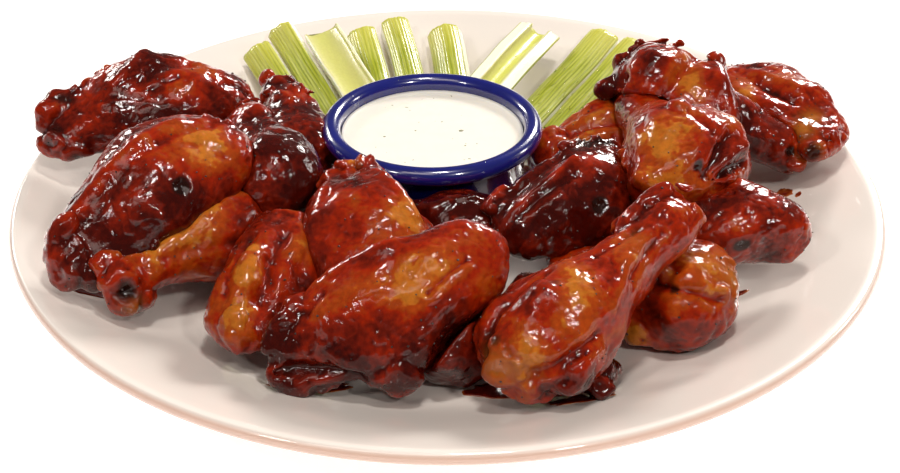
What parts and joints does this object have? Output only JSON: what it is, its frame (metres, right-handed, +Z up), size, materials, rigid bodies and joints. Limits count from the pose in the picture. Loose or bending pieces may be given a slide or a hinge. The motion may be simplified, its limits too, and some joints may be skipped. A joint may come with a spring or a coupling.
{
  "type": "chicken wings serving",
  "caption": "Round dinner plate heaped with sauce-glazed chicken wing pieces round a small cup of creamy dip, with celery sticks fanned behind it; it rests on its foot ring.",
  "frame": {"origin": "centre of the plate's foot ring, on the surface that it stands on", "axes": "+Z up; the platter's front faces -Y, with the celery behind the dip cup at +Y"},
  "size_m": [0.305, 0.305, 0.0613],
  "materials": {
    "plate": "glossy off-white glaze",
    "dip_cup": "glossy cobalt blue glaze",
    "dip": "creamy white dip with flecks of herb",
    "celery": "moist ribbed green celery, pale inside",
    "glazed_chicken": "fried chicken in a thick glossy red-brown sauce"
  },
  "bodies": {
    "root": {"plate": "plate", "dip_cup": "dip_cup", "dip": "dip", "celery_1": "celery", "celery_2": "celery", "celery_3": "celery", "celery_4": "celery", "celery_5": "celery", "celery_6": "celery", "celery_7": "celery", "celery_8": "celery", "celery_9": "celery", "flat_front": "glazed_chicken", "drumette_front_right": "glazed_chicken", "flat_left": "glazed_chicken", "flat_back_left": "glazed_chicken", "flat_centre": "glazed_chicken", "flat_front_left": "glazed_chicken", "drumette_upper_right": "glazed_chicken", "drumette_back_right": "glazed_chicken", "flat_back_right": "glazed_chicken", "flat_right": "glazed_chicken", "flat_centre_right": "glazed_chicken", "drumette_right": "glazed_chicken", "drumette_front_left": "glazed_chicken", "drumette_beside_cup": "glazed_chicken", "drumette_by_celery": "glazed_chicken", "flat_beside_cup": "glazed_chicken", "flat_under_back": "glazed_chicken", "drumette_under_left": "glazed_chicken", "drumette_before_cup": "glazed_chicken", "drumette_under_front": "glazed_chicken", "flat_under_right": "glazed_chicken"}
  },
  "joints": []
}
